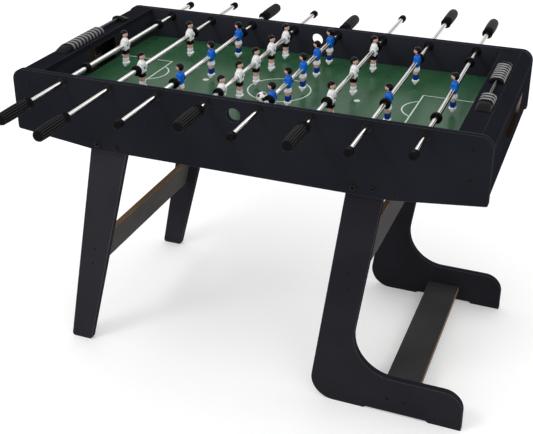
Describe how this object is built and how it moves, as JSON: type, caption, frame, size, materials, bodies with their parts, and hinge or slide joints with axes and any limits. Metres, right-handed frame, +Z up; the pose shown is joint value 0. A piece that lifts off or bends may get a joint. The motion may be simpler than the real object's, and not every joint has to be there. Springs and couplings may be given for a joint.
{
  "type": "foosball table",
  "caption": "Home foosball table: dark cabinet on L-shaped and fold-away legs, with sliding, spinning rods of players, handles, bead scorers and a ball.",
  "frame": {"origin": "on the floor under the middle of the cabinet", "axes": "+Z up, +X along the table towards the L-shaped legs, +Y across the table towards the back"},
  "size_m": [1.21, 1.256, 0.8235],
  "materials": {
    "panel_laminate": "satin near-black laminate with a faint grain",
    "leg_laminate": "satin charcoal laminate",
    "goal_wall_board": "satin near-black laminate",
    "field_board": "green field print with pale lines, semi-gloss",
    "raw_board": "bare fibreboard",
    "ball_box_board": "dark board, matt",
    "rod_chrome": "polished, fine turning marks",
    "fastener_steel": "dark brown-black, worn on the heads",
    "bushing_black": "black, moulded",
    "handle_black": "black, fluted grip",
    "bumper_black": "black rubber",
    "score_grey": "dark grey, moulded, shiny",
    "white_team": "white shirt, black shorts, painted",
    "blue_team": "blue shirt, white shorts, painted",
    "ball_white": "white with black spots"
  },
  "bodies": {
    "table": {"cabinet_screws": "fastener_steel", "leg_bolts": "fastener_steel", "side_panel_front": "panel_laminate", "side_panel_back": "panel_laminate", "playfield": "field_board", "end_panel_left": "panel_laminate", "end_panel_right": "panel_laminate", "goal_wall_left": "goal_wall_board", "goal_wall_right": "goal_wall_board", "end_top_left": "panel_laminate", "end_top_right": "panel_laminate", "ball_boxes": "ball_box_board", "cleats_and_battens": "raw_board", "rod_bushings": "bushing_black", "score_rods": "rod_chrome", "score_brackets": "score_grey", "l_leg_front": "leg_laminate", "l_leg_back": "leg_laminate", "l_leg_upper_brace": "leg_laminate", "l_leg_foot_brace": "leg_laminate"},
    "folding_legs": {"straight_leg_front": "leg_laminate", "straight_leg_back": "leg_laminate", "straight_leg_brace": "leg_laminate", "straight_leg_screws": "fastener_steel"},
    "score_left": {"score_beads_left": "score_grey"},
    "score_right_near": {"score_beads_right_near": "score_grey"},
    "score_right_far": {"score_beads_right_far": "score_grey"},
    "ball": {"ball": "ball_white"},
    "rod_1_slide": {"bumpers_1": "bumper_black"},
    "rod_1_spin": {"rod_1": "rod_chrome", "men_1": "white_team", "handle_and_cap_1": "handle_black"},
    "rod_2_slide": {"bumpers_2": "bumper_black"},
    "rod_2_spin": {"rod_2": "rod_chrome", "men_2": "white_team", "handle_and_cap_2": "handle_black"},
    "rod_3_slide": {"bumpers_3": "bumper_black"},
    "rod_3_spin": {"rod_3": "rod_chrome", "men_3": "blue_team", "handle_and_cap_3": "handle_black"},
    "rod_4_slide": {"bumpers_4": "bumper_black"},
    "rod_4_spin": {"rod_4": "rod_chrome", "men_4": "white_team", "handle_and_cap_4": "handle_black"},
    "rod_5_slide": {"bumpers_5": "bumper_black"},
    "rod_5_spin": {"rod_5": "rod_chrome", "men_5": "blue_team", "handle_and_cap_5": "handle_black"},
    "rod_6_slide": {"bumpers_6": "bumper_black"},
    "rod_6_spin": {"rod_6": "rod_chrome", "men_6": "white_team", "handle_and_cap_6": "handle_black"},
    "rod_7_slide": {"bumpers_7": "bumper_black"},
    "rod_7_spin": {"rod_7": "rod_chrome", "men_7": "blue_team", "handle_and_cap_7": "handle_black"},
    "rod_8_slide": {"bumpers_8": "bumper_black"},
    "rod_8_spin": {"rod_8": "rod_chrome", "men_8": "blue_team", "handle_and_cap_8": "handle_black"}
  },
  "joints": [
    {"name": "legs_fold", "type": "hinge", "parent": "table", "child": "folding_legs", "pos_m": [-0.372, 0, 0.628], "axis": [0, -1, 0], "range_deg": [0, 100]},
    {"name": "score_left_slide", "type": "slide", "parent": "table", "child": "score_left", "axis": [0, 1, 0], "range_m": [0, 0.1025]},
    {"name": "score_right_near_slide", "type": "slide", "parent": "table", "child": "score_right_near", "axis": [0, 1, 0], "range_m": [0, 0.0515]},
    {"name": "score_right_far_slide", "type": "slide", "parent": "table", "child": "score_right_far", "axis": [0, 1, 0], "range_m": [-0.0515, 0]},
    {"name": "ball_roll", "type": "slide", "parent": "table", "child": "ball", "axis": [0, 1, 0], "range_m": [-0.172, 0.382]},
    {"name": "rod_1_push_pull", "type": "slide", "parent": "table", "child": "rod_1_slide", "axis": [0, 1, 0], "range_m": [-0.088, 0.08]},
    {"name": "rod_1_turn", "type": "hinge", "parent": "rod_1_slide", "child": "rod_1_spin", "pos_m": [-0.45675, 0, 0.782], "axis": [0, 1, 0], "continuous": true},
    {"name": "rod_2_push_pull", "type": "slide", "parent": "table", "child": "rod_2_slide", "axis": [0, 1, 0], "range_m": [-0.115, 0.113]},
    {"name": "rod_2_turn", "type": "hinge", "parent": "rod_2_slide", "child": "rod_2_spin", "pos_m": [-0.32625, 0, 0.782], "axis": [0, 1, 0], "continuous": true},
    {"name": "rod_3_push_pull", "type": "slide", "parent": "table", "child": "rod_3_slide", "axis": [0, 1, 0], "range_m": [-0.06, 0.062]},
    {"name": "rod_3_turn", "type": "hinge", "parent": "rod_3_slide", "child": "rod_3_spin", "pos_m": [-0.19575, 0, 0.782], "axis": [0, 1, 0], "continuous": true},
    {"name": "rod_4_push_pull", "type": "slide", "parent": "table", "child": "rod_4_slide", "axis": [0, 1, 0], "range_m": [-0.045, 0.031]},
    {"name": "rod_4_turn", "type": "hinge", "parent": "rod_4_slide", "child": "rod_4_spin", "pos_m": [-0.06525, 0, 0.782], "axis": [0, 1, 0], "continuous": true},
    {"name": "rod_5_push_pull", "type": "slide", "parent": "table", "child": "rod_5_slide", "axis": [0, 1, 0], "range_m": [-0.032, 0.044]},
    {"name": "rod_5_turn", "type": "hinge", "parent": "rod_5_slide", "child": "rod_5_spin", "pos_m": [0.06525, 0, 0.782], "axis": [0, 1, 0], "continuous": true},
    {"name": "rod_6_push_pull", "type": "slide", "parent": "table", "child": "rod_6_slide", "axis": [0, 1, 0], "range_m": [-0.085, 0.037]},
    {"name": "rod_6_turn", "type": "hinge", "parent": "rod_6_slide", "child": "rod_6_spin", "pos_m": [0.19575, 0, 0.782], "axis": [0, 1, 0], "continuous": true},
    {"name": "rod_7_push_pull", "type": "slide", "parent": "table", "child": "rod_7_slide", "axis": [0, 1, 0], "range_m": [-0.127, 0.101]},
    {"name": "rod_7_turn", "type": "hinge", "parent": "rod_7_slide", "child": "rod_7_spin", "pos_m": [0.32625, 0, 0.782], "axis": [0, 1, 0], "continuous": true},
    {"name": "rod_8_push_pull", "type": "slide", "parent": "table", "child": "rod_8_slide", "axis": [0, 1, 0], "range_m": [-0.084, 0.084]},
    {"name": "rod_8_turn", "type": "hinge", "parent": "rod_8_slide", "child": "rod_8_spin", "pos_m": [0.45675, 0, 0.782], "axis": [0, 1, 0], "continuous": true}
  ]
}
